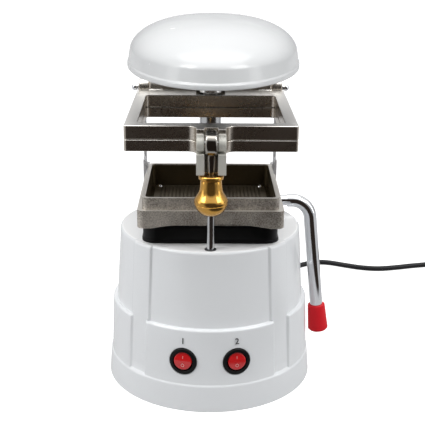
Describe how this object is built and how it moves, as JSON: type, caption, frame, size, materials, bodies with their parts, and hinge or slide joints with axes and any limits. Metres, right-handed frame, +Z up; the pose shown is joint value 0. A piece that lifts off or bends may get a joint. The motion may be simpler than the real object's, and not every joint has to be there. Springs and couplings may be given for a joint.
{
  "type": "dental vacuum former",
  "caption": "Bench vacuum former with a round housing, suction tray, sliding clamp frame, lift lever, front latch and swivelling heater head.",
  "frame": {"origin": "centre of the foot ring, on the table", "axes": "+Z up along the housing's axis; -Y towards the user, at the latch knob; +X to the right, where the lift lever is"},
  "size_m": [0.5585, 0.3767, 0.3255],
  "materials": {
    "white_plastic": "gloss",
    "black_plastic": "satin",
    "red_plastic": "gloss, lit from behind when on",
    "cord_rubber": "matt",
    "red_rubber": "semi-gloss",
    "zinc_plate": "zinc plated",
    "motor_metal": "satin",
    "cast_aluminium": "cast, bead blasted",
    "sieve_metal": "satin",
    "polished_steel": "polished",
    "chrome": "mirror polished",
    "bearing_metal": "dark, oiled",
    "brass": "polished",
    "reflector": "bright",
    "element_metal": "heat darkened",
    "ceramic": "glazed ceramic"
  },
  "bodies": {
    "base": {"housing": "white_plastic", "bottom_plate": "zinc_plate", "rubber_pads": "cord_rubber", "base_screws": "zinc_plate", "motor_cradle": "zinc_plate", "vacuum_motor": "motor_metal", "suction_duct": "black_plastic", "plinth": "black_plastic", "tray": "cast_aluminium", "perforated_plate": "sieve_metal", "plate_screws": "polished_steel", "column": "polished_steel", "column_socket": "zinc_plate", "column_collar": "polished_steel", "rod_bushing": "bearing_metal", "shaft_bearings": "bearing_metal", "bearing_screws": "zinc_plate", "switch_body_left": "black_plastic", "switch_body_right": "black_plastic", "cord_gland": "cord_rubber", "cord_free": "cord_rubber", "cord_coil": "cord_rubber", "plug": "black_plastic"},
    "carriage": {"lower_frame": "cast_aluminium", "column_bushing": "bearing_metal", "front_rod": "polished_steel", "lift_plates": "polished_steel", "lift_screws": "zinc_plate", "hinge_pins": "chrome"},
    "upper_frame": {"upper_frame": "cast_aluminium", "latch_pin": "chrome"},
    "latch": {"swing_bolt": "chrome"},
    "knob": {"knob": "brass"},
    "lever": {"lever_rod": "chrome", "cranks": "chrome", "crank_pins": "chrome", "lever_grip": "red_rubber"},
    "head": {"head_shell": "white_plastic", "head_base_plate": "zinc_plate", "head_pillars": "white_plastic", "head_screws": "zinc_plate", "head_hub": "bearing_metal", "heat_reflector": "reflector", "heater_element": "element_metal", "element_posts": "ceramic"},
    "rocker_left": {"rocker_left": "red_plastic"},
    "rocker_right": {"rocker_right": "red_plastic"}
  },
  "joints": [
    {"name": "frame_slide", "type": "slide", "parent": "base", "child": "carriage", "axis": [0, 0, 1], "range_m": [-0.0529, 0]},
    {"name": "lever_swing", "type": "hinge", "parent": "base", "child": "lever", "pos_m": [0, 0.0515, 0.1464], "axis": [1, 0, 0], "range_deg": [-102.2, 0]},
    {"name": "frame_open", "type": "hinge", "parent": "carriage", "child": "upper_frame", "pos_m": [0, 0.09, 0.248], "axis": [1, 0, 0], "range_deg": [-8.5, 0]},
    {"name": "latch_swing", "type": "hinge", "parent": "upper_frame", "child": "latch", "pos_m": [0, -0.096, 0.237], "axis": [1, 0, 0], "range_deg": [-110, 0]},
    {"name": "knob_run", "type": "slide", "parent": "latch", "child": "knob", "axis": [0, 0, 1], "range_m": [-0.03, 0]},
    {"name": "head_swivel", "type": "hinge", "parent": "base", "child": "head", "pos_m": [0, 0.0675, 0.28], "axis": [0, 0, 1], "range_deg": [-90, 90]},
    {"name": "rocker_left_tilt", "type": "hinge", "parent": "base", "child": "rocker_left", "pos_m": [-0.02196, -0.08325, 0.0452], "axis": [0.9669, -0.255, 0], "range_deg": [0, 14]},
    {"name": "rocker_right_tilt", "type": "hinge", "parent": "base", "child": "rocker_right", "pos_m": [0.02196, -0.08325, 0.0452], "axis": [0.9669, 0.255, 0], "range_deg": [0, 14]}
  ],
  "couplings": [
    {"joint": "lever_swing", "follows": "frame_slide", "rad_per_m": 33.701},
    {"joint": "knob_run", "follows": "frame_open", "m_per_rad": 0.2009}
  ]
}
